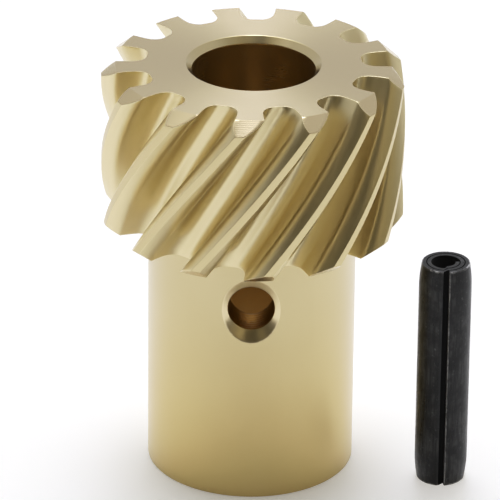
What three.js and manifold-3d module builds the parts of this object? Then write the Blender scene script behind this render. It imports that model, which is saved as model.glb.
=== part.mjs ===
// Helical drive gear in bronze with a long plain hub, and the coiled spring pin that locks it to its shaft.
// Millimetres. +Z is up, along the gear's axis; z = 0 is the surface both pieces stand on.
// The cross hole runs along Y; the pin stands beside the gear on the +X side.

import * as THREE from 'three';
import { mergeVertices } from 'three/addons/utils/BufferGeometryUtils.js';
import Module from 'manifold-3d';

// ---- Gear teeth -----------------------------------------------------------
const TOOTH_COUNT = 13;
const LEAD = 126.5;              // axial length of one full turn, right-hand helix
const FRONT_TOOTH_ANGLE = -91.35; // degrees, centre of one tooth in the top face
const TIP_RADIUS = 15.7;
const SHOULDER_RADIUS = 14.2;    // widest part of a tooth, where the end chamfers begin
const WAIST_RADIUS = 12.4;       // narrowest part of a tooth
const ROOT_RADIUS = 11.15;
const LAND_WIDTH = 0.94;         // tooth width at the tip
const SHOULDER_WIDTH = 3.0;
const WAIST_WIDTH = 2.6;
const ROOT_FILLET = 1.0;
const END_CHAMFER = 1.22;        // axial height of the chamfer on both tooth ends

// ---- Gear body ------------------------------------------------------------
const TOTAL_HEIGHT = 44.9;
const TEETH_BOTTOM = 26.85;      // underside of the toothed length
const HUB_RADIUS = 10.83;
const BORE_RADIUS = 6.35;        // half-inch shaft
const BORE_CHAMFER = 0.65;

// ---- Cross hole for the pin ------------------------------------------------
const CROSS_HOLE_HEIGHT = 21.7;
const CROSS_HOLE_RADIUS = 2.5;
const SINK_RADIUS = 3.63;        // countersink where it meets the hub's surface
const SINK_SLOPE = 1.55;         // radius gained per millimetre of depth

// ---- Coiled spring pin -----------------------------------------------------
const PIN_X = 20.1;              // from the gear's axis
const PIN_Y = -5.45;
const PIN_RADIUS = 2.75;         // free size, before it is squeezed into a 5 mm hole
const PIN_LENGTH = 25;
const STRIP_THICKNESS = 0.42;
const COIL_SPACING = 0.46;       // strip plus the running gap between coils
const COIL_TURNS = 2.25;
const COIL_STEP_ANGLE = 40;      // degrees over which the strip dives under its outer end
const SEAM_ANGLE = -83;
const SWAGE_LENGTH = 2.4;        // tapered length at each end
const SWAGE_SCALE = 0.91;        // end size over body size

// ---- Mesh fineness ----------------------------------------------------------
const TOOTH_LAYERS = 12;
const ROUND_SEGMENTS = 72;
const COIL_SEGMENTS_PER_TURN = 36;

const DEG = Math.PI / 180;

// The set is centred on its own footprint, so the gear's axis sits to the -X side of the origin.
const GEAR_X = -(PIN_X + PIN_RADIUS - TIP_RADIUS) / 2;

const wasm = await Module();
wasm.setup();

const bronze = new THREE.MeshStandardMaterial({ name: 'bronze', color: 0xc2ad78, roughness: 0.3, metalness: 1 });
const oxide = new THREE.MeshStandardMaterial({ name: 'black_oxide', color: 0x1c1c1d, roughness: 0.5, metalness: 0.7 });

// ---------------------------------------------------------------------------
// Helpers
// ---------------------------------------------------------------------------

function toManifold(geometry) {
  const plain = geometry.clone();
  plain.deleteAttribute('normal');
  plain.deleteAttribute('uv');
  const merged = mergeVertices(plain, 1e-5);
  const mesh = new wasm.Mesh({
    numProp: 3,
    vertProperties: new Float32Array(merged.attributes.position.array),
    triVerts: new Uint32Array(merged.index.array),
  });
  return new wasm.Manifold(mesh);
}

function toGeometry(manifold) {
  const mesh = manifold.getMesh();
  return indexedGeometry(Array.from(mesh.vertProperties), Array.from(mesh.triVerts));
}

function indexedGeometry(positions, triangles) {
  const geometry = new THREE.BufferGeometry();
  geometry.setAttribute('position', new THREE.Float32BufferAttribute(positions, 3));
  geometry.setIndex(triangles);
  return geometry;
}

// Solid turned about Z from an outline of [radius, height] pairs that starts and ends on the axis.
function turned(outline, segments = ROUND_SEGMENTS) {
  const points = outline.map(([radius, height]) => new THREE.Vector2(radius, height));
  return new THREE.LatheGeometry(points, segments).rotateX(Math.PI / 2);
}

function named(name, geometry, material) {
  const plain = geometry.index ? geometry.toNonIndexed() : geometry;
  plain.computeVertexNormals();
  const mesh = new THREE.Mesh(plain, material);
  mesh.name = name;
  return mesh;
}

// ---------------------------------------------------------------------------
// Helical gear
// ---------------------------------------------------------------------------

// One flank from the gap floor up to the tip, as [radius, half width of the tooth].
function flankOutline() {
  const filletSteps = 3;
  const sideSteps = 2;
  const crownSteps = 3;
  const outline = [];
  for (let i = filletSteps; i > 0; i--) {
    const turn = (i / filletSteps) * Math.PI / 2;
    const radius = WAIST_RADIUS - (WAIST_RADIUS - ROOT_RADIUS) * Math.sin(turn);
    outline.push([radius, WAIST_WIDTH / 2 + ROOT_FILLET * (1 - Math.cos(turn))]);
  }
  for (let i = 0; i < sideSteps; i++) {
    const t = i / sideSteps;
    const radius = WAIST_RADIUS + (SHOULDER_RADIUS - WAIST_RADIUS) * t;
    outline.push([radius, (WAIST_WIDTH + (SHOULDER_WIDTH - WAIST_WIDTH) * t ** 1.5) / 2]);
  }
  for (let i = 0; i <= crownSteps; i++) {
    const t = i / crownSteps;
    const radius = SHOULDER_RADIUS + (TIP_RADIUS - SHOULDER_RADIUS) * t;
    outline.push([radius, (SHOULDER_WIDTH - (SHOULDER_WIDTH - LAND_WIDTH) * t ** 1.8) / 2]);
  }
  return outline;
}

// How far the end chamfer has dropped at this radius.
function endDrop(radius) {
  const out = Math.max(0, radius - SHOULDER_RADIUS);
  return out * END_CHAMFER / (TIP_RADIUS - SHOULDER_RADIUS);
}

// The toothed length: every outline point is a helical column between two chamfered end faces.
function toothedBlank() {
  const flank = flankOutline();
  const shoulderIndex = flank.findIndex(([radius]) => radius >= SHOULDER_RADIUS - 1e-6);
  const perTooth = flank.length * 2;
  const ring = [];
  for (let tooth = 0; tooth < TOOTH_COUNT; tooth++) {
    const centre = FRONT_TOOTH_ANGLE * DEG + tooth * 2 * Math.PI / TOOTH_COUNT;
    flank.forEach(([radius, half]) => ring.push({ radius, angle: centre - half / radius }));
    [...flank].reverse().forEach(([radius, half]) => ring.push({ radius, angle: centre + half / radius }));
  }

  const positions = [];
  for (let layer = 0; layer <= TOOTH_LAYERS; layer++) {
    for (const { radius, angle } of ring) {
      const low = TEETH_BOTTOM + endDrop(radius);
      const high = TOTAL_HEIGHT - endDrop(radius);
      const z = low + (high - low) * layer / TOOTH_LAYERS;
      const turn = angle + (z - TOTAL_HEIGHT) * 2 * Math.PI / LEAD;
      positions.push(radius * Math.cos(turn), radius * Math.sin(turn), z);
    }
  }

  const triangles = [];
  const count = ring.length;
  for (let layer = 0; layer < TOOTH_LAYERS; layer++) {
    for (let i = 0; i < count; i++) {
      const a = layer * count + i;
      const b = layer * count + (i + 1) % count;
      triangles.push(a, b, b + count, a, b + count, a + count);
    }
  }
  addEndFace(triangles, positions, 0, false);
  addEndFace(triangles, positions, TOOTH_LAYERS * count, true);
  return indexedGeometry(positions, triangles);

  // Flat middle out to the shoulders, then the chamfer as strips across each tooth.
  function addEndFace(list, points, first, facesUp) {
    const push = (a, b, c) => (facesUp ? list.push(a, b, c) : list.push(a, c, b));
    const core = [];
    for (let i = 0; i < count; i++) {
      const step = i % perTooth;
      const onCrown = step > shoulderIndex && step < perTooth - 1 - shoulderIndex;
      if (!onCrown) {
        core.push(first + i);
      }
    }
    const flat = core.map((i) => new THREE.Vector2(points[3 * i], points[3 * i + 1]));
    for (const [a, b, c] of THREE.ShapeUtils.triangulateShape(flat, [])) {
      push(core[a], core[b], core[c]);
    }
    for (let tooth = 0; tooth < TOOTH_COUNT; tooth++) {
      const start = first + tooth * perTooth;
      for (let i = shoulderIndex; i < flank.length - 1; i++) {
        const left = start + i;
        const right = start + perTooth - 1 - i;
        push(left, left + 1, right - 1);
        push(left, right - 1, right);
      }
    }
  }
}

function hub() {
  const overlap = 1;
  return turned([
    [0, 0],
    [HUB_RADIUS, 0],
    [HUB_RADIUS, TEETH_BOTTOM + overlap],
    [0, TEETH_BOTTOM + overlap],
  ]);
}

function boreCutter() {
  const mouth = BORE_RADIUS + BORE_CHAMFER;
  return turned([
    [0, -1],
    [mouth, -1],
    [mouth, 0],
    [BORE_RADIUS, BORE_CHAMFER],
    [BORE_RADIUS, TOTAL_HEIGHT - BORE_CHAMFER],
    [mouth, TOTAL_HEIGHT],
    [mouth, TOTAL_HEIGHT + 1],
    [0, TOTAL_HEIGHT + 1],
  ]);
}

// Hole straight through both walls, countersunk where it leaves the hub.
function crossHoleCutter() {
  const sinkStart = HUB_RADIUS - (SINK_RADIUS - CROSS_HOLE_RADIUS) / SINK_SLOPE;
  const reach = HUB_RADIUS + 0.15;
  const mouth = CROSS_HOLE_RADIUS + (reach - sinkStart) * SINK_SLOPE;
  const cutter = turned([
    [0, -reach],
    [mouth, -reach],
    [CROSS_HOLE_RADIUS, -sinkStart],
    [CROSS_HOLE_RADIUS, sinkStart],
    [mouth, reach],
    [0, reach],
  ], 40);
  return cutter.rotateX(Math.PI / 2).translate(0, 0, CROSS_HOLE_HEIGHT);
}

function driveGear() {
  const solid = toManifold(toothedBlank())
    .add(toManifold(hub()))
    .subtract(toManifold(boreCutter()))
    .subtract(toManifold(crossHoleCutter()));
  return named('drive_gear', toGeometry(solid).translate(GEAR_X, 0, 0), bronze);
}

// ---------------------------------------------------------------------------
// Coiled spring pin
// ---------------------------------------------------------------------------

// Radius of the strip's outer face after this much winding: round for most of each
// turn, then one coil spacing inward over the last part, so it passes under its own end.
function coilRadius(winding) {
  const turns = Math.floor(winding / 360);
  const intoStep = Math.max(0, winding - turns * 360 - (360 - COIL_STEP_ANGLE)) / COIL_STEP_ANGLE;
  const eased = intoStep * intoStep * (3 - 2 * intoStep);
  return PIN_RADIUS - COIL_SPACING * (turns + eased);
}

// Taper of the swaged ends, full size over the middle of the pin.
function swageScale(z) {
  const fromEnd = Math.min(z, PIN_LENGTH - z);
  const t = Math.max(0, 1 - fromEnd / SWAGE_LENGTH);
  return 1 - (1 - SWAGE_SCALE) * t ** 1.6;
}

function springPin() {
  const steps = Math.round(COIL_TURNS * COIL_SEGMENTS_PER_TURN);
  const section = [];
  for (const inward of [0, STRIP_THICKNESS]) {
    const face = [];
    for (let i = 0; i <= steps; i++) {
      const winding = i / steps * COIL_TURNS * 360;
      const radius = coilRadius(winding) - inward;
      const angle = (SEAM_ANGLE + winding) * DEG;
      face.push(new THREE.Vector2(radius * Math.cos(angle), radius * Math.sin(angle)));
    }
    section.push(...(inward === 0 ? face : face.reverse()));
  }

  const heights = [0, SWAGE_LENGTH / 3, SWAGE_LENGTH];
  const levels = [...heights, ...[...heights].reverse().map((z) => PIN_LENGTH - z)];
  const positions = [];
  for (const z of levels) {
    const scale = swageScale(z);
    section.forEach((point) => positions.push(point.x * scale, point.y * scale, z));
  }

  const count = section.length;
  const triangles = [];
  for (let level = 0; level < levels.length - 1; level++) {
    for (let i = 0; i < count; i++) {
      const a = level * count + i;
      const b = level * count + (i + 1) % count;
      triangles.push(a, b, b + count, a, b + count, a + count);
    }
  }
  const top = (levels.length - 1) * count;
  for (let i = 0; i < steps; i++) {
    const inner = count - 1 - i;
    triangles.push(i, inner, i + 1, i + 1, inner, inner - 1);
    triangles.push(top + i, top + i + 1, top + inner, top + i + 1, top + inner - 1, top + inner);
  }
  const geometry = indexedGeometry(positions, triangles);
  return named('spring_pin', geometry.translate(GEAR_X + PIN_X, PIN_Y, 0), oxide);
}

const group = new THREE.Group();
group.name = 'helical_drive_gear_set';
group.add(driveGear());
group.add(springPin());

export default group;
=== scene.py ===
"""Looks of a bronze helical drive gear and its coiled spring pin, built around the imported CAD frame."""

import math

import bmesh
import bpy
import numpy as np
from mathutils import Matrix, Vector
from mathutils.geometry import tessellate_polygon


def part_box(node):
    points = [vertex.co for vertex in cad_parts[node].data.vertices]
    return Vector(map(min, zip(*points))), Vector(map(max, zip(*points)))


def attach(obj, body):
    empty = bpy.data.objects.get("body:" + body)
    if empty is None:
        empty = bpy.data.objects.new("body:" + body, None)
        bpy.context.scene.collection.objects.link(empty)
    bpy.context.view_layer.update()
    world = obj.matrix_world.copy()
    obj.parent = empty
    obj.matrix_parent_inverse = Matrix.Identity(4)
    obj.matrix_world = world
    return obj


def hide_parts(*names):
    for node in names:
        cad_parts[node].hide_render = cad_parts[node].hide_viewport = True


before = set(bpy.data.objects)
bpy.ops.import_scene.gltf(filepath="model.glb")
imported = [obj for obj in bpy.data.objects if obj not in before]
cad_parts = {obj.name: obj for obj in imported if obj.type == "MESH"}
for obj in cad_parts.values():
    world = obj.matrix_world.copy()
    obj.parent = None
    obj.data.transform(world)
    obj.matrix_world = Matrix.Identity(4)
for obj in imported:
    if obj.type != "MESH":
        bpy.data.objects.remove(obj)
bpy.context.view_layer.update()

MM = 0.001
UM = 0.000001

# ---- where the CAD put things (millimetres) ----
gear_low, gear_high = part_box("drive_gear")
pin_low, pin_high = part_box("spring_pin")
GEAR_X = (gear_low.x + gear_high.x) / 2 / MM
GEAR_Y = (gear_low.y + gear_high.y) / 2 / MM
HEIGHT = gear_high.z / MM
PIN_RADIUS = (pin_high.x - pin_low.x) / 2 / MM
PIN_X = (pin_low.x + pin_high.x) / 2 / MM
PIN_Y = pin_high.y / MM - PIN_RADIUS
PIN_LENGTH = pin_high.z / MM

# ---- gear teeth ----
TEETH = 13
LEAD = 126.5
FRONT_TOOTH = math.radians(-91.35)
TIP_R = 15.7
SHOULDER_R = 14.2            # where the end chamfers begin, and the crowned top of each flank
WAIST_R = 12.4               # where each flank meets its fillet
ROOT_R = 11.15
LAND_W = 0.94                # tooth widths at the tip, the shoulder and the waist
SHOULDER_W = 3.0
WAIST_W = 2.6
FILLET = 1.0                 # how far the fillet reaches along the gap's floor
SIDE_BEND = 1.5              # powers that bend the side and the crown of a flank
CROWN_BEND = 1.8
CROWN_END = 0.955            # how far up the crown goes before the land's rounded edge
TIP_ROUND = 0.04             # rounding along each land's two edges
TIP_LEAN = 0.0006            # radians by which that rounding starts outside the land
END_CHAMFER = 1.22
TEETH_BOTTOM = 26.85
EDGE = 0.03                  # rounding of the tooth edges at both ends
FILLET_STEPS, SIDE_STEPS, CROWN_STEPS = 8, 6, 9
LAYERS = 64                  # rows of faces up the teeth
ACROSS = 6                   # strips across a land and across each end chamfer
QUARTER = (30, 60, 90)       # degrees of the rows around a small rounded edge

# ---- gear body ----
HUB_R = 10.83
BORE_R = 6.35
BORE_CHAMFER = 0.65
MOUTH_R = BORE_R + BORE_CHAMFER
MOUTH_EDGE = 0.02            # rounding of the bore chamfer's two edges
NEAR_MOUTH = 0.8             # a row this far from each end keeps the bore's shading even
BREAK = 0.12                 # broken edge at the foot of the hub
COLUMNS = 240                # around every turned surface
FRONT, BACK = COLUMNS * 3 // 4, COLUMNS // 4     # the columns that the cross hole runs through
HOLE_Z = 21.7
HOLE_R = 2.42
HOLE_EDGE = 0.02             # rounding where the countersink meets the hole
RIM_EDGE = 0.05              # rounding where the countersink meets the hub, and the hole the bore
SINK_R = 3.63
SINK_SLOPE = 1.55
SINK_START = HUB_R - (SINK_R - HOLE_R) / SINK_SLOPE
SETTLING_ROUNDS = 40         # enough to find where the countersink meets the round hub
PATCH_HALF_COLUMNS = 24      # the piece of wall that is left out around the cross hole
PATCH_LOW, PATCH_HIGH, PATCH_ROWS = 17.2, 26.2, 36
PATCH_LEVELS = [PATCH_LOW + (PATCH_HIGH - PATCH_LOW) * i / PATCH_ROWS for i in range(PATCH_ROWS + 1)]

# ---- pin ----
STRIP = 0.54
COIL_SPACING = 0.575
COIL_TURNS = 2.25
STEPS_PER_TURN = 120
COIL_STEP = 18.0             # degrees over which a turn steps inwards, ending at the seam
RECESS = 4.0                 # degrees of that step, deep beside the seam, that take the near-black painted shade
SEAM = -83.0
CORNER = 0.10                # rounding of the strip's edge that shows at the seam
CORNER_STEPS = 6
STRIP_EDGE = 0.05            # rounding of the strip's edges at both ends of the pin
SWAGE_LENGTH = 2.4
SWAGE_SCALE = 0.91
SWAGE_BEND = 1.6
PIN_ROWS = [STRIP_EDGE, 0.3, 0.8, 1.4, 2.0, 2.4, 3.2, 5, 7.5, 10, 12.5]     # from one end to the middle


# ============================================================================
# Mesh helpers: everything is gathered as loose faces and welded at the end
# ============================================================================
WELD = 0.0004 * MM
SLIVER = 0.0001 * MM


class Builder:
    def __init__(self):
        self.verts, self.faces, self.mats, self.flat = [], [], [], []

    def add(self, points, faces, mat, flat=False):
        base = len(self.verts)
        self.verts.extend([tuple(p) for p in points])
        for f in faces:
            self.faces.append([base + i for i in f])
            self.mats.append(mat)
            self.flat.append(flat)

    def grid(self, rows, mat, closed=False, flat=False, skip=None):
        """rows: list of equal-length point rows, joined by quads."""
        n, m = len(rows), len(rows[0])
        pts = [p for row in rows for p in row]
        faces = []
        for i in range(n - 1):
            for j in range(m if closed else m - 1):
                if skip and skip(i, j):
                    continue
                k = (j + 1) % m
                faces.append((i * m + j, i * m + k, (i + 1) * m + k, (i + 1) * m + j))
        self.add(pts, faces, mat, flat)

    def face_with_hole(self, outer, inner, mat):
        """A flat face between two closed loops."""
        loops = [[Vector(p) for p in outer], [Vector(p) for p in inner]]
        self.add(loops[0] + loops[1], [tuple(t) for t in tessellate_polygon(loops)], mat, flat=True)

    def build(self, name, materials, location):
        bm = bmesh.new()
        verts = [bm.verts.new((x * MM, y * MM, z * MM)) for x, y, z in self.verts]
        for f, mat, flat in zip(self.faces, self.mats, self.flat):
            face = bm.faces.new([verts[i] for i in f])
            face.material_index = mat
            face.smooth = not flat
        bmesh.ops.remove_doubles(bm, verts=bm.verts, dist=WELD)
        bmesh.ops.dissolve_degenerate(bm, edges=bm.edges, dist=SLIVER)
        bmesh.ops.recalc_face_normals(bm, faces=bm.faces)
        open_edges = sum(1 for e in bm.edges if len(e.link_faces) != 2)
        print(f"{name}: {len(bm.faces)} faces, {open_edges} edges not shared by two faces")
        mesh = bpy.data.meshes.new(name)
        bm.to_mesh(mesh)
        bm.free()
        for m in materials:
            mesh.materials.append(m)
        obj = bpy.data.objects.new(name, mesh)
        bpy.context.scene.collection.objects.link(obj)
        obj.location = Vector(location) * MM
        weighted = obj.modifiers.new("weighted", "WEIGHTED_NORMAL")
        weighted.keep_sharp = True
        return obj


def ring(radius, z):
    angles = [2 * math.pi * i / COLUMNS for i in range(COLUMNS)]
    return [(radius * math.cos(a), radius * math.sin(a), z) for a in angles]


def offset_outline(points, distance):
    """The closed outline moved inward by a distance, along averaged edge normals."""
    before = points - np.roll(points, 1, 0)
    after = np.roll(points, -1, 0) - points
    before /= np.linalg.norm(before, axis=1)[:, None]
    after /= np.linalg.norm(after, axis=1)[:, None]
    normal_a = np.stack([-before[:, 1], before[:, 0]], 1)
    normal_b = np.stack([-after[:, 1], after[:, 0]], 1)
    normal = normal_a + normal_b
    normal /= np.linalg.norm(normal, axis=1)[:, None]
    stretch = 1 / np.maximum(0.5, (normal * normal_a).sum(1))
    return points + normal * (distance * stretch)[:, None]


# ============================================================================
# Gear teeth
# ============================================================================
FACE, WALL, FLANK, LAND, BORE, SINK, CHAMFER, DRILLED, MOUTH = range(9)


def flank_outline():
    """One flank from just past the gap's middle to the land, as (radius, angle from the tooth's centre)."""
    floor_end = (WAIST_W / 2 + FILLET) / ROOT_R
    gap_mid = math.pi / TEETH
    pts = [(ROOT_R, floor_end + (gap_mid - floor_end) * 0.5)]
    for i in range(FILLET_STEPS, 0, -1):
        turn = i / FILLET_STEPS * math.pi / 2
        r = WAIST_R - (WAIST_R - ROOT_R) * math.sin(turn)
        pts.append((r, (WAIST_W / 2 + FILLET * (1 - math.cos(turn))) / r))
    for i in range(SIDE_STEPS):
        t = i / SIDE_STEPS
        r = WAIST_R + (SHOULDER_R - WAIST_R) * t
        pts.append((r, (WAIST_W + (SHOULDER_W - WAIST_W) * t ** SIDE_BEND) / 2 / r))
    for i in range(CROWN_STEPS + 1):
        t = i / CROWN_STEPS * CROWN_END
        r = SHOULDER_R + (TIP_R - SHOULDER_R) * t
        pts.append((r, (SHOULDER_W - (SHOULDER_W - LAND_W) * t ** CROWN_BEND) / 2 / r))
    # two more points round the corner onto the land
    r0, a0 = pts[-1]
    corner = LAND_W / 2 / TIP_R + TIP_LEAN
    for t in (0.35, 0.7):
        r = (1 - t) ** 2 * r0 + 2 * t * (1 - t) * TIP_R + t * t * TIP_R
        a = (1 - t) ** 2 * a0 + 2 * t * (1 - t) * corner + t * t * (corner - TIP_ROUND / TIP_R)
        pts.append((r, a))
    return pts


def tooth_outline():
    """A whole tooth as (radius, angle), anticlockwise, and how many of its points are on each flank."""
    flank = flank_outline()
    land_half = LAND_W / 2 / TIP_R - TIP_ROUND / TIP_R
    left = [(r, -a) for r, a in flank]
    land = [(TIP_R, -land_half + 2 * land_half * i / ACROSS) for i in range(ACROSS + 1)]
    right = [(r, a) for r, a in reversed(flank)]
    return left + land + right, len(flank)


OUTLINE, FLANK_COUNT = tooth_outline()
PER_TOOTH = len(OUTLINE)
SHOULDER_INDEX = 1 + FILLET_STEPS + SIDE_STEPS
RING_POINTS = []
for tooth in range(TEETH):
    centre = FRONT_TOOTH + tooth * 2 * math.pi / TEETH
    RING_POINTS += [(r * math.cos(centre + a), r * math.sin(centre + a)) for r, a in OUTLINE]
RING_POINTS = np.array(RING_POINTS)


def end_drop(r, shoulder):
    """How far the end chamfer has dropped from the end face at a radius."""
    return np.maximum(0, r - shoulder) * END_CHAMFER / (TIP_R - SHOULDER_R)


def twisted(points, z):
    turn = (z - HEIGHT) * 2 * math.pi / LEAD
    c, s = np.cos(turn), np.sin(turn)
    return np.stack([points[:, 0] * c - points[:, 1] * s, points[:, 0] * s + points[:, 1] * c, z], 1)


def rounded_end(base, sign, shoulder):
    """Rows around the small rounding between the flanks and one end of the teeth."""
    rows = []
    for turn in QUARTER:
        a = math.radians(turn)
        moved = offset_outline(RING_POINTS, EDGE * (1 - math.cos(a)))
        drop = end_drop(np.hypot(moved[:, 0], moved[:, 1]), shoulder)
        rows.append(twisted(moved, base + sign * drop + sign * EDGE * (1 - math.sin(a))))
    return rows


def chamfer_rows(edge_row, start, height_at):
    """Rows across one tooth's end chamfer, from its shoulder out to its land."""
    rows = []
    for i in range(SHOULDER_INDEX, FLANK_COUNT):
        p, q = edge_row[start + i], edge_row[start + PER_TOOTH - 1 - i]
        r = math.hypot(p[0], p[1])
        a0, a1 = math.atan2(p[1], p[0]), math.atan2(q[1], q[0])
        a1 += 2 * math.pi if a1 < a0 - 1 else 0
        row = [tuple(p)]
        for k in range(1, ACROSS):
            a = a0 + (a1 - a0) * k / ACROSS
            row.append((r * math.cos(a), r * math.sin(a), height_at(r)))
        row.append(tuple(q))
        rows.append(row)
    rows.append([tuple(edge_row[start + FLANK_COUNT + k]) for k in range(ACROSS + 1)])
    return rows


def tooth_ends(b, edge_row, base, sign, shoulder, hole_radius):
    """The end chamfer of every tooth, and the flat face from there in to a round edge."""
    def height_at(r):
        return base + sign * float(end_drop(r, shoulder))

    outline = []
    for start in range(0, len(edge_row), PER_TOOTH):
        rows = chamfer_rows(edge_row, start, height_at)
        b.grid(rows, CHAMFER)
        outline += [edge_row[start + i] for i in range(SHOULDER_INDEX)]
        outline += rows[0]
        outline += [edge_row[start + PER_TOOTH - 1 - i] for i in range(SHOULDER_INDEX - 1, -1, -1)]
    b.face_with_hole([(x, y, base) for x, y, z in outline], ring(hole_radius, base), FACE)


def toothed_band(b):
    inner = offset_outline(RING_POINTS, EDGE)
    shoulder = float(np.hypot(*inner[SHOULDER_INDEX]))
    radii = np.hypot(RING_POINTS[:, 0], RING_POINTS[:, 1])
    low = TEETH_BOTTOM + end_drop(radii, shoulder) + EDGE
    high = HEIGHT - end_drop(radii, shoulder) - EDGE
    rows = [twisted(RING_POINTS, low + (high - low) * i / LAYERS) for i in range(LAYERS + 1)]
    top_rows = rounded_end(HEIGHT, -1, shoulder)
    bottom_rows = rounded_end(TEETH_BOTTOM, 1, shoulder)
    everything = bottom_rows[::-1] + rows + top_rows

    # a land takes in the rounding along its two edges
    land_first, land_last = FLANK_COUNT - 2, FLANK_COUNT + ACROSS + 1
    on_land = [land_first <= j % PER_TOOTH < land_last for j in range(len(RING_POINTS))]
    b.grid(everything, FLANK, closed=True, skip=lambda i, j: on_land[j])
    b.grid(everything, LAND, closed=True, skip=lambda i, j: not on_land[j])

    tooth_ends(b, top_rows[-1], HEIGHT, -1, shoulder, MOUTH_R + MOUTH_EDGE)
    tooth_ends(b, bottom_rows[-1], TEETH_BOTTOM, 1, shoulder, HUB_R)


# ============================================================================
# Gear body: hub, bore and cross hole
# ============================================================================
def patch_border(side, wall_radius):
    """Border of the patch around the cross hole, on a round wall. side is -1 in front and 1 behind."""
    centre = FRONT if side < 0 else BACK
    columns = range(centre - PATCH_HALF_COLUMNS, centre + PATCH_HALF_COLUMNS + 1)
    turns = [2 * math.pi * c / COLUMNS for c in columns]
    border = [(a, PATCH_LEVELS[0]) for a in turns] + [(turns[-1], z) for z in PATCH_LEVELS[1:]]
    border += [(a, PATCH_LEVELS[-1]) for a in turns[-2::-1]] + [(turns[0], z) for z in PATCH_LEVELS[-2:0:-1]]
    return [(wall_radius * math.cos(a), wall_radius * math.sin(a), z) for a, z in border]


def on_wall(x, z, side, radius):
    return (x, side * math.sqrt(max(0.0, radius * radius - x * x)), z)


def sink_edge(a, extra):
    """Distance from the hole's axis to where its countersink meets the round hub, in one direction."""
    rho = SINK_R
    for _ in range(SETTLING_ROUNDS):
        y = math.sqrt(HUB_R ** 2 - (rho * math.cos(a)) ** 2)
        rho = 0.5 * rho + 0.5 * (HOLE_R + (y - SINK_START) * SINK_SLOPE)
    return rho + extra


def cross_hole(b, side):
    outer_border = patch_border(side, HUB_R)
    inner_border = patch_border(side, BORE_R)
    angles = [math.atan2(z - HOLE_Z, x) for x, y, z in outer_border]

    # hub wall, from the patch's border in to the countersink
    def hub_loop(t):
        loop = []
        for (x, y, z), a in zip(outer_border, angles):
            rho = sink_edge(a, RIM_EDGE)
            xi, zi = rho * math.cos(a), HOLE_Z + rho * math.sin(a)
            loop.append(on_wall(xi + (x - xi) * t, zi + (z - zi) * t, side, HUB_R))
        return loop

    patch = [outer_border] + [hub_loop(t) for t in (0.75, 0.5, 0.3, 0.15, 0.05, 0.0)]
    b.grid(patch, WALL, closed=True)

    # countersink
    cone = [patch[-1]]
    for t in (0.0, 0.15, 0.5, 0.85, 1.0):
        loop = []
        for a in angles:
            edge = sink_edge(a, -RIM_EDGE)
            rho = edge + (HOLE_R + HOLE_EDGE - edge) * t
            y = SINK_START + (rho - HOLE_R) / SINK_SLOPE
            loop.append((rho * math.cos(a), side * y, HOLE_Z + rho * math.sin(a)))
        cone.append(loop)
    b.grid(cone, SINK, closed=True)

    # drilled wall, ending on the bore
    rim_r = HOLE_R + RIM_EDGE
    bore_edge = [on_wall(rim_r * math.cos(a), HOLE_Z + rim_r * math.sin(a), side, BORE_R) for a in angles]
    wall = [cone[-1]]
    for t in (0.0, 0.1, 0.3, 0.5, 0.7, 0.9, 1.0):
        loop = []
        for a in angles:
            x, z = HOLE_R * math.cos(a), HOLE_Z + HOLE_R * math.sin(a)
            y0 = SINK_START - HOLE_EDGE
            y1 = math.sqrt(BORE_R ** 2 - x * x) + RIM_EDGE
            loop.append((x, side * (y0 + (y1 - y0) * t), z))
        wall.append(loop)
    wall.append(bore_edge)
    b.grid(wall, DRILLED, closed=True)

    # bore wall, from the hole out to the patch's border
    inner = [bore_edge]
    for t in (0.06, 0.2, 0.45, 0.7):
        loop = []
        for (x, y, z), (xb, yb, zb) in zip(inner_border, bore_edge):
            loop.append(on_wall(xb + (x - xb) * t, zb + (z - zb) * t, side, BORE_R))
        inner.append(loop)
    inner.append(inner_border)
    b.grid(inner, BORE, closed=True)


def round_walls(b):
    def around_patches(first_row):
        """Leaves out the two patches that the cross hole fills."""
        def skip(i, j):
            in_rows = first_row <= i < first_row + PATCH_ROWS
            in_cols = any(c - PATCH_HALF_COLUMNS <= j < c + PATCH_HALF_COLUMNS for c in (FRONT, BACK))
            return in_rows and in_cols
        return skip

    below = [BREAK, 0.6, 2, 4, 6, 8, 10, 12, 14, 16]
    hub_rows = below + PATCH_LEVELS + [26.6, TEETH_BOTTOM]
    b.grid([ring(HUB_R, z) for z in hub_rows], WALL, closed=True, skip=around_patches(len(below)))
    low = [BORE_CHAMFER + MOUTH_EDGE, NEAR_MOUTH, 1.2, 3, 6, 9, 12, 15]
    high = [28, 31, 34, 37, 40, 43, HEIGHT - NEAR_MOUTH, HEIGHT - BORE_CHAMFER - MOUTH_EDGE]
    bore_rows = low + PATCH_LEVELS + high
    b.grid([ring(BORE_R, z) for z in bore_rows], BORE, closed=True, skip=around_patches(len(low)))

    # foot of the hub: broken edge and flat end
    foot = [ring(HUB_R, BREAK)]
    for turn in QUARTER:
        a = math.radians(turn)
        foot.append(ring(HUB_R - BREAK * (1 - math.cos(a)), BREAK * (1 - math.sin(a))))
    b.grid(foot, WALL, closed=True)
    b.grid([ring(HUB_R - BREAK, 0), ring(MOUTH_R + MOUTH_EDGE, 0)], FACE, closed=True, flat=True)

    # bore chamfer at each end, rounded at both of its edges
    middle, straight = 0.7 * MOUTH_EDGE, 3 * MOUTH_EDGE
    chamfer = [(MOUTH_R + MOUTH_EDGE, 0), (MOUTH_R - middle, middle), (MOUTH_R - straight, straight),
               (BORE_R + straight, BORE_CHAMFER - straight), (BORE_R + middle, BORE_CHAMFER - middle),
               (BORE_R, BORE_CHAMFER + MOUTH_EDGE)]
    b.grid([ring(r, z) for r, z in chamfer], MOUTH, closed=True)
    b.grid([ring(r, HEIGHT - z) for r, z in chamfer], MOUTH, closed=True)


def make_gear(materials):
    b = Builder()
    toothed_band(b)
    round_walls(b)
    for side in (-1, 1):
        cross_hole(b, side)
    return b.build("drive_gear_fine", materials, (GEAR_X, GEAR_Y, 0))


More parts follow.
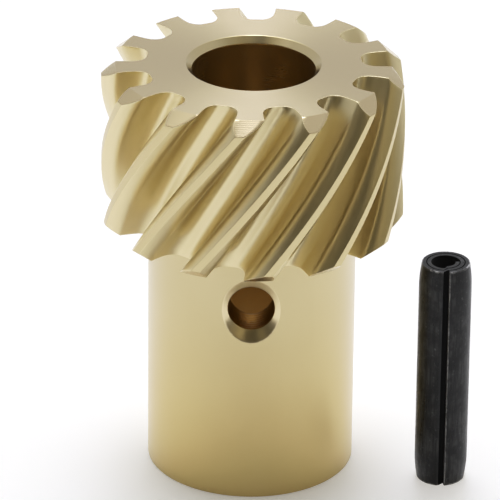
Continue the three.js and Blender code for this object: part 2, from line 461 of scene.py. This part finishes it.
# ============================================================================
# Pin
# ============================================================================
def coil_radius(winding):
    """Outer radius of the rolled strip, winding degrees from the seam."""
    turns = math.floor(winding / 360 + 1e-9)
    into = max(0.0, winding - turns * 360 - (360 - COIL_STEP)) / COIL_STEP
    eased = into * into * (3 - 2 * into)
    return PIN_RADIUS - COIL_SPACING * (turns + eased)


def swage_scale(z):
    t = max(0.0, 1 - min(z, PIN_LENGTH - z) / SWAGE_LENGTH)
    return 1 - (1 - SWAGE_SCALE) * t ** SWAGE_BEND


def strip_sides():
    """The rolled strip's outer and inner sides, seen from above."""
    outer, inner = [], []
    # the strip's outer corner at the seam is rounded
    for k in range(CORNER_STEPS):
        a = math.radians(90 * k / CORNER_STEPS)
        angle = math.radians(SEAM) + CORNER / PIN_RADIUS * (1 - math.cos(a))
        direction = np.array([math.cos(angle), math.sin(angle)])
        outer.append(direction * (PIN_RADIUS - CORNER * (1 - math.sin(a))))
        inner.append(direction * (PIN_RADIUS - STRIP))
    first = math.degrees(CORNER / PIN_RADIUS)
    steps = int(COIL_TURNS * STEPS_PER_TURN)
    for i in range(steps + 1):
        winding = first + i / steps * (COIL_TURNS * 360 - first)
        angle = math.radians(SEAM + winding)
        direction = np.array([math.cos(angle), math.sin(angle)])
        outer.append(direction * coil_radius(winding))
        inner.append(direction * (coil_radius(winding) - STRIP))
    return outer, inner


def make_pin(materials):
    outer, inner = strip_sides()
    section = np.array(outer + inner[::-1])

    def row_at(z, shrink=None):
        points = section if shrink is None else offset_outline(section, shrink)
        scale = swage_scale(z)
        return [(x * scale, y * scale, z) for x, y in points]

    # heights of the rounded end's rows, and how far each row draws in
    quarter = [math.radians(turn) for turn in QUARTER]
    rounding = [(STRIP_EDGE * (1 - math.sin(a)), STRIP_EDGE * (1 - math.cos(a))) for a in quarter]
    heights = PIN_ROWS + [PIN_LENGTH - z for z in reversed(PIN_ROWS[:-1])]
    rows = [row_at(z, shrink) for z, shrink in reversed(rounding)]
    rows += [row_at(z) for z in heights]
    rows += [row_at(PIN_LENGTH - z, shrink) for z, shrink in rounding]

    b = Builder()
    n, half = len(section), len(outer)
    # the last degrees of the step beside the seam, the coil's inner turns and its inside take the near-black
    # painted shade
    shown = int(half * (360 - RECESS) / 360 / COIL_TURNS)
    b.grid(rows, 0, closed=True, skip=lambda i, j: j >= shown)
    b.grid(rows, 1, closed=True, skip=lambda i, j: j < shown)
    for row in (rows[0], rows[-1]):
        b.grid([row[:half], [row[n - 1 - i] for i in range(half)]], 0, flat=True)
    return b.build("spring_pin_fine", materials, (PIN_X, PIN_Y, 0))


# ============================================================================
# Materials
# ============================================================================
class Nodes:
    """Short calls for node trees: of a new material, or of the world when one is given."""
    def __init__(self, name, world=None):
        self.mat = world or bpy.data.materials.new(name)
        self.mat.use_nodes = True
        self.tree = self.mat.node_tree
        self.shader = self.tree.nodes["Background" if world else "Principled BSDF"]
        self.coords = self.tree.nodes.new("ShaderNodeTexCoord").outputs["Generated" if world else "Object"]

    def link(self, a, b):
        self.tree.links.new(a, b)

    def put(self, socket, value):
        if isinstance(value, (int, float, tuple)):
            socket.default_value = value
        else:
            self.link(value, socket)

    def math(self, op, a, b=0.0, c=0.0):
        n = self.tree.nodes.new("ShaderNodeMath")
        n.operation = op
        for i, v in enumerate((a, b, c)):
            self.put(n.inputs[i], v)
        return n.outputs[0]

    def radius(self, x, y):
        return self.math("SQRT", self.math("ADD", self.math("MULTIPLY", x, x), self.math("MULTIPLY", y, y)))

    def ranged(self, value, low, high, to_low=0.0, to_high=1.0):
        n = self.tree.nodes.new("ShaderNodeMapRange")
        n.interpolation_type = "SMOOTHSTEP"
        values = {"Value": value, "From Min": low, "From Max": high, "To Min": to_low, "To Max": to_high}
        for key, v in values.items():
            self.put(n.inputs[key], v)
        return n.outputs[0]

    def xyz(self, vector):
        n = self.tree.nodes.new("ShaderNodeSeparateXYZ")
        self.link(vector, n.inputs[0])
        return n.outputs

    def vec(self, x, y, z):
        n = self.tree.nodes.new("ShaderNodeCombineXYZ")
        for i, v in enumerate((x, y, z)):
            self.put(n.inputs[i], v)
        return n.outputs[0]

    def noise(self, vector, scale, detail=2.0, rough=0.5, dims="3D"):
        n = self.tree.nodes.new("ShaderNodeTexNoise")
        n.noise_dimensions = dims
        self.put(n.inputs["Vector" if dims != "1D" else "W"], vector)
        n.inputs["Scale"].default_value = scale
        n.inputs["Detail"].default_value = detail
        n.inputs["Roughness"].default_value = rough
        return n.outputs["Fac"]

    def mix(self, factor, a, b):
        n = self.tree.nodes.new("ShaderNodeMix")
        n.data_type = "RGBA"
        self.put(n.inputs["Factor"], factor)
        self.put(n.inputs["A"], a)
        self.put(n.inputs["B"], b)
        return n.outputs["Result"]

    def bump(self, height, strength, distance, normal=None):
        n = self.tree.nodes.new("ShaderNodeBump")
        n.inputs["Strength"].default_value = strength
        n.inputs["Distance"].default_value = distance
        self.link(height, n.inputs["Height"])
        if normal is not None:
            self.link(normal, n.inputs["Normal"])
        return n.outputs[0]


BRONZE = (0.596, 0.510, 0.312, 1)
BRONZE_DEEP = (0.582, 0.494, 0.293, 1)
FACE_BRONZE = (0.640, 0.542, 0.350, 1)
FOOT_SHADE_BRONZE = (0.590, 0.470, 0.220, 1)
CUT_BRONZE = (0.714, 0.626, 0.402, 1)
# a brighter, deeper copy of the bronze for the bore: painted light standing in for light bounced down it
BORE_LIT_BRONZE = (0.850, 0.672, 0.385, 1)
# a darker, browner copy of the bronze inside the cross hole: painted shade
DRILLED_SHADE_BRONZE = (0.420, 0.255, 0.060, 1)
SINK_BRONZE = (0.700, 0.600, 0.385, 1)
PATCH_SCALE, GRAIN_SCALE = 120, 1900                 # noise waves per metre
LINE_SCALE = 7.0                                     # tool marks, per millimetre
HOB_SCALE_AROUND, HOB_SCALE_ALONG = 2600, 90         # the hob's marks, per metre, run along the teeth
PATCH_ROUGHNESS = 0.012                              # how much the roughness changes from patch to patch
FOOT_SHADE_TOP, FOOT_SHADE_BOTTOM = 26 * MM, 1 * MM              # between these heights the hub wall's colour darkens towards its foot, a painted shade
QUARTER_TURN = 0.25                                  # stretches highlights across marks that run around


def bronze(name, marks, roughness, anisotropic=0.0, groove=0.0, grain=0.0, light=BRONZE, deep=None,
           coat=0.4, foot=None, feed=None, uneven=0.02):
    """marks: which way the tool marks run: rings, turns (round a wall), cut (along a tooth), or drill and
    sink (around the cross hole). groove and grain: their depths, in micrometres. feed: the pitch in
    millimetres and the depth in micrometres of regular feed marks."""
    n = Nodes(name)
    s = n.shader
    x, y, z = n.xyz(n.coords)
    radius = n.radius(x, y)
    patches = n.noise(n.coords, PATCH_SCALE, 2, 0.5)
    across = {"rings": radius, "turns": z, "drill": y, "sink": y}.get(marks)
    if across:
        lines = n.noise(n.math("MULTIPLY", across, 1 / MM), LINE_SCALE, 4, 0.75, dims="1D")
    else:
        twist = n.math("MULTIPLY", z, 2 * math.pi / (LEAD * MM))
        turn = n.math("SUBTRACT", n.math("ARCTAN2", y, x), twist)
        level = n.math("MULTIPLY", radius, HOB_SCALE_AROUND)
        along_tooth = n.vec(n.math("MULTIPLY", n.math("COSINE", turn), level),
                            n.math("MULTIPLY", n.math("SINE", turn), level),
                            n.math("MULTIPLY", z, HOB_SCALE_ALONG))
        lines = n.noise(along_tooth, 1.0, 3, 0.6)

    colour = n.mix(n.ranged(patches, 0.3, 0.7, 0.3, 0.7), light, deep or light)
    # painted shade: the wall's colour darkens and deepens towards its foot
    if foot:
        colour = n.mix(n.ranged(z, FOOT_SHADE_TOP, FOOT_SHADE_BOTTOM), colour, foot)
    n.link(colour, s.inputs["Base Color"])
    s.inputs["Metallic"].default_value = 1.0
    s.inputs["Coat Weight"].default_value = coat
    s.inputs["Coat Roughness"].default_value = 0.3
    patchy = n.ranged(patches, 0.25, 0.75, roughness - PATCH_ROUGHNESS, roughness + PATCH_ROUGHNESS)
    n.link(n.math("ADD", patchy, n.ranged(lines, 0.3, 0.7, -uneven, uneven)), s.inputs["Roughness"])

    normal = n.bump(lines, 1.0, groove * UM)
    if grain:
        normal = n.bump(n.noise(n.coords, GRAIN_SCALE, 3, 0.65), 1.0, grain * UM, normal)
    if feed:
        pitch, depth = feed
        wave = n.math("SINE", n.math("MULTIPLY", across, 2 * math.pi / (pitch * MM)))
        cuts = n.math("MULTIPLY", wave, n.ranged(lines, 0.3, 0.7, 0.4, 1.0))
        normal = n.bump(cuts, 1.0, depth * UM, normal)
    n.link(normal, s.inputs["Normal"])

    if anisotropic:
        s.inputs["Anisotropic"].default_value = anisotropic
        s.inputs["Anisotropic Rotation"].default_value = QUARTER_TURN
        if marks == "sink":
            tangent = n.vec(n.math("SUBTRACT", z, HOLE_Z * MM), 0.0, n.math("MULTIPLY", x, -1.0))
        else:
            t = n.tree.nodes.new("ShaderNodeTangent")
            t.direction_type = "RADIAL"
            t.axis = "Z"
            tangent = t.outputs[0]
        n.link(tangent, s.inputs["Tangent"])
    return n.mat


OXIDE = (0.001, 0.001, 0.001, 1)
RUBBED_OXIDE = (0.050, 0.050, 0.0505, 1)
STEEL_WEAR_AND_HIGHLIGHT = (0.46, 0.46, 0.465, 1)
COIL_SHADE = (0.006, 0.006, 0.006, 1)
RUB_SCALE, STREAK_SCALE, CHIP_SCALE = 420, 700, 1300         # noise waves per metre
SPECK_SCALE, FINE_SCALE = 2200, 3200
STREAK_AROUND, STREAK_ALONG = 5, 0.35                        # draws the streaks out along the pin
# each pair below says where a kind of wear, the painted highlight along the seam's corner or the painted
# shade of the step begins and where it is full
RIM_WEAR = (0.24 * MM, 0.04 * MM)                            # above or below an end
RIM_INSIDE = (0.14 * MM, 0.06 * MM)                          # inside the end's edge
CORNER_HIGHLIGHT = (0.030, 0.010)                                 # radians from the seam's corner, for the painted highlight along it
CORNER_DEPTH = (0.30 * MM, 0.15 * MM)                        # under the pin's surface
STEP_SHADE = (0.30, 0.10)                                    # radians before the seam, where the painted shade of the step begins and is full
SPECK_WEAR = 0.14
WEAR_AND_HIGHLIGHT_METAL = 0.7


def oxide(name):
    """Black oxide, chipped on the rims, with small specks and streaks, a painted highlight along the seam's
    corner and a painted shade on the step beside the seam.
    """
    n = Nodes(name)
    s = n.shader
    x, y, z = n.xyz(n.coords)
    radius = n.radius(x, y)
    angle = n.math("ARCTAN2", y, x)
    seam = math.radians(SEAM)
    patches = n.noise(n.coords, RUB_SCALE, 4, 0.6)
    chips = n.noise(n.coords, CHIP_SCALE, 3, 0.65)
    fine = n.noise(n.coords, FINE_SCALE, 2, 0.6)
    stretched = n.vec(n.math("MULTIPLY", x, STREAK_AROUND), n.math("MULTIPLY", y, STREAK_AROUND),
                      n.math("MULTIPLY", z, STREAK_ALONG))
    streaks = n.noise(stretched, STREAK_SCALE, 3, 0.6)

    # chipped rims at both ends
    from_end = n.math("MINIMUM", z, n.math("SUBTRACT", PIN_LENGTH * MM, z))
    end_radius = PIN_RADIUS * SWAGE_SCALE * MM
    rim = n.math("MULTIPLY", n.ranged(from_end, *RIM_WEAR), n.ranged(chips, 0.42, 0.60, 0.14, 1.0))
    rim = n.math("MULTIPLY", rim, n.ranged(radius, end_radius - RIM_INSIDE[0], end_radius - RIM_INSIDE[1]))

    # small bright specks all over
    specks = n.ranged(n.noise(n.coords, SPECK_SCALE, 2, 0.5), 0.64, 0.78)
    wear_and_highlight = n.math("MAXIMUM", rim, n.math("MULTIPLY", specks, SPECK_WEAR))

    # painted highlight: a thin broken light line along the corner that shows at the seam
    off_corner = n.math("ABSOLUTE", n.math("SUBTRACT", angle, seam + CORNER / PIN_RADIUS / 2))
    outside = n.ranged(radius, PIN_RADIUS * MM - CORNER_DEPTH[0], PIN_RADIUS * MM - CORNER_DEPTH[1])
    corner = n.math("MULTIPLY", n.ranged(off_corner, *CORNER_HIGHLIGHT), outside)
    corner = n.math("MULTIPLY", corner, n.ranged(chips, 0.40, 0.58, 0.35, 1.0))
    wear_and_highlight = n.math("MAXIMUM", wear_and_highlight, n.math("MULTIPLY", corner, n.ranged(streaks, 0.35, 0.6, 0.10, 0.55)))

    # handling rubs the rest in streaks; on the step that sinks towards the seam the rubbing fades out, a
    # painted shade
    rubbed_and_shaded = n.ranged(patches, 0.40, 0.62, 0.1, 1.0)
    rubbed_and_shaded = n.math("MULTIPLY", rubbed_and_shaded, n.ranged(streaks, 0.38, 0.64, 0.15, 1.0))
    before_step = n.ranged(angle, seam - STEP_SHADE[0], seam - STEP_SHADE[1], 1.0, 0.0)
    past_seam = n.math("GREATER_THAN", angle, seam)
    rubbed_and_shaded = n.math("MULTIPLY", rubbed_and_shaded, n.math("MAXIMUM", before_step, past_seam))
    dark = n.mix(rubbed_and_shaded, OXIDE, RUBBED_OXIDE)

    # the chipped rims and specks are wear; the line along the seam's corner is a painted highlight
    n.link(n.mix(wear_and_highlight, dark, STEEL_WEAR_AND_HIGHLIGHT), s.inputs["Base Color"])
    s.inputs["Specular IOR Level"].default_value = 0.40
    s.inputs["Sheen Weight"].default_value = 0.10
    s.inputs["Sheen Roughness"].default_value = 0.30
    n.link(n.math("MULTIPLY", wear_and_highlight, WEAR_AND_HIGHLIGHT_METAL), s.inputs["Metallic"])
    rough = n.math("ADD", n.ranged(streaks, 0.34, 0.66, 0.28, 0.44), n.ranged(fine, 0.3, 0.7, -0.03, 0.03))
    n.link(rough, s.inputs["Roughness"])
    normal = n.bump(streaks, 0.6, 20 * UM)
    n.link(n.bump(fine, 0.5, 8 * UM, normal), s.inputs["Normal"])
    return n.mat


def painted_shade_oxide(name):
    """A near-black painted shade for the inside of the coil and the depth of the seam, where little light
    comes back.
    """
    n = Nodes(name)
    n.shader.inputs["Base Color"].default_value = COIL_SHADE
    n.shader.inputs["Roughness"].default_value = 0.8
    n.shader.inputs["Specular IOR Level"].default_value = 0.05
    return n.mat


# in the order of FACE, WALL, FLANK, LAND, BORE, SINK, CHAMFER, DRILLED, MOUTH
bronze_slots = [
    bronze("bronze_turned_face", "rings", 0.19, anisotropic=0.9, groove=1.0, light=FACE_BRONZE),
    # the turned wall carries the painted shade at its foot
    bronze("bronze_turned_wall", "turns", 0.37, anisotropic=0.3, groove=1.0, deep=BRONZE_DEEP,
           foot=FOOT_SHADE_BRONZE, coat=0.65),
    bronze("bronze_hobbed_flank", "cut", 0.36, groove=7.0, grain=2.5, light=CUT_BRONZE, coat=0.1),
    bronze("bronze_turned_land", "turns", 0.34, groove=2.0, deep=BRONZE_DEEP, coat=0.25),
    bronze("bronze_bore", "turns", 0.27, groove=0.05, uneven=0.003, light=BORE_LIT_BRONZE, coat=0.1),
    bronze("bronze_countersink", "sink", 0.31, anisotropic=0.6, groove=1.2, light=SINK_BRONZE,
           feed=(0.16, 1.5)),
    bronze("bronze_turned_chamfer", "rings", 0.22, anisotropic=0.6, groove=3.0, light=FACE_BRONZE,
           feed=(0.18, 0.9)),
    bronze("bronze_drilled", "drill", 0.38, groove=2.0, light=DRILLED_SHADE_BRONZE, coat=0.0, feed=(0.50, 25)),
    bronze("bronze_bore_mouth", "rings", 0.20, anisotropic=0.5, groove=1.5, deep=BRONZE_DEEP),
]
gear = make_gear(bronze_slots)
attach(gear, "gear")
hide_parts("drive_gear")

pin = make_pin([oxide("black_oxide_steel"), painted_shade_oxide("black_oxide_painted_shade")])
# the dark pin would otherwise show in the bright gear as a black band
pin.visible_glossy = False
pin.visible_diffuse = False
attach(pin, "pin")
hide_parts("spring_pin")


# ============================================================================
# Floor, light and camera
# ============================================================================
WHITE = (1, 1, 1, 1)
FLOOR_HALF = 3.0
FLOOR_TONE = (0.95, 0.95, 0.95, 1)
FLOOR_GLOW = 0.12
WALL_LIGHT = 0.62
ROOM_LIGHT = 0.085
ROOM_TINT = (1.0, 0.87, 0.55, 1)
STRIP_LIGHT = 2.1
STRIP_TINT = (0.98, 1.01, 1.20, 1)
# the sky is laid out in the parts of a direction along x, y and z, each from -1 to 1
ROOM_TO_WALL = (-0.58, 0.08)         # y, from the dark room in front to the dim walls behind
TINT_FADE = (-0.6, -0.1)             # y
STRIP_SIDE = (0.16, 0.03)            # x, from the strip's edge to its full light
STRIP_RISE = (0.52, 0.72)            # z
STRIP_FRONT = (-0.34, 0.02)          # y
# azimuth and elevation in degrees, the cosines at which each lamp begins and is full, and its light:
# a large softbox above and behind with a wider skirt, then small lamps and cards around the dark room
LAMPS = (
    (100, 70, 0.90, 0.985, 2.6),
    (100, 66, 0.75, 0.97, 0.5),
    (-117, 33, 0.985, 0.998, 0.32),
    (-63, 33, 0.985, 0.998, 0.50),
    (-40, 36, 0.88, 1.0, 0.28),
    (-157, 60, 0.94, 1.0, 0.24),
    (-60, 64, 0.95, 1.0, 0.14),
)
CAMERA_ELEVATION, CAMERA_ROLL = 26.064, 0.589
CAMERA_DISTANCE = 561.8
CAMERA_LENS, SENSOR_WIDTH = 387.0, 36.0
AIM_LEFT, AIM_HEIGHT = 0.193, 23.470                             # from the gear's axis and the floor
TONE_CURVE = ((0.08, 0.058), (0.28, 0.272), (0.50, 0.535))       # gentle contrast, as a product shot has


def make_floor():
    bm = bmesh.new()
    bmesh.ops.create_grid(bm, x_segments=2, y_segments=2, size=FLOOR_HALF)
    mesh = bpy.data.meshes.new("floor")
    bm.to_mesh(mesh)
    bm.free()
    floor = bpy.data.objects.new("floor", mesh)
    bpy.context.scene.collection.objects.link(floor)
    n = Nodes("pale_floor")
    n.shader.inputs["Base Color"].default_value = FLOOR_TONE
    n.shader.inputs["Roughness"].default_value = 0.9
    n.shader.inputs["Specular IOR Level"].default_value = 0.1
    n.shader.inputs["Emission Color"].default_value = WHITE
    n.shader.inputs["Emission Strength"].default_value = FLOOR_GLOW
    mesh.materials.append(n.mat)


def make_studio():
    """A soft sky: dim walls behind, a dark room behind the camera, the lamps, and a bright strip overhead."""
    world = bpy.data.worlds.new("studio")
    bpy.context.scene.world = world
    n = Nodes("studio", world)
    x, y, z = n.xyz(n.coords)

    def along(azimuth, elevation):
        """Cosine of the angle between a direction of the sky and this one."""
        a, e = math.radians(azimuth), math.radians(elevation)
        total = n.math("MULTIPLY", z, math.sin(e))
        total = n.math("ADD", total, n.math("MULTIPLY", x, math.cos(a) * math.cos(e)))
        return n.math("ADD", total, n.math("MULTIPLY", y, math.sin(a) * math.cos(e)))

    glow = n.ranged(y, *ROOM_TO_WALL, ROOM_LIGHT, WALL_LIGHT)
    for azimuth, elevation, begins, full, light in LAMPS:
        lamp = n.math("MULTIPLY", n.ranged(along(azimuth, elevation), begins, full), light)
        glow = n.math("ADD", glow, lamp)
    strip = n.math("MULTIPLY", n.ranged(n.math("ABSOLUTE", x), *STRIP_SIDE), n.ranged(z, *STRIP_RISE))
    strip = n.math("MULTIPLY", strip, n.ranged(y, *STRIP_FRONT))
    glow = n.math("ADD", glow, n.math("MULTIPLY", strip, STRIP_LIGHT))
    n.link(glow, n.shader.inputs["Strength"])
    tint = n.mix(n.ranged(y, *TINT_FADE), ROOM_TINT, WHITE)
    n.link(n.mix(strip, tint, STRIP_TINT), n.shader.inputs["Color"])


def make_camera():
    elevation, roll = math.radians(CAMERA_ELEVATION), math.radians(CAMERA_ROLL)
    data = bpy.data.cameras.new("camera")
    data.sensor_width = SENSOR_WIDTH
    data.lens = CAMERA_LENS
    data.clip_start, data.clip_end = 0.05, 20
    obj = bpy.data.objects.new("camera", data)
    bpy.context.scene.collection.objects.link(obj)
    forward = Vector((0, math.cos(elevation), -math.sin(elevation)))
    level_up = Vector((0, math.sin(elevation), math.cos(elevation)))
    level_right = Vector((1, 0, 0))
    up = level_up * math.cos(roll) - level_right * math.sin(roll)
    right = level_right * math.cos(roll) + level_up * math.sin(roll)
    aim = Vector((GEAR_X - AIM_LEFT, GEAR_Y, AIM_HEIGHT))
    rotation = Matrix((right, up, -forward)).transposed()
    obj.matrix_world = Matrix.Translation((aim - forward * CAMERA_DISTANCE) * MM) @ rotation.to_4x4()
    bpy.context.scene.camera = obj


def set_tone():
    view = bpy.context.scene.view_settings
    view.view_transform = "Standard"
    view.use_curve_mapping = True
    tone = view.curve_mapping.curves[3]
    for level, shown in TONE_CURVE:
        tone.points.new(level, shown)
    view.curve_mapping.update()


make_floor()
make_studio()
make_camera()
set_tone()
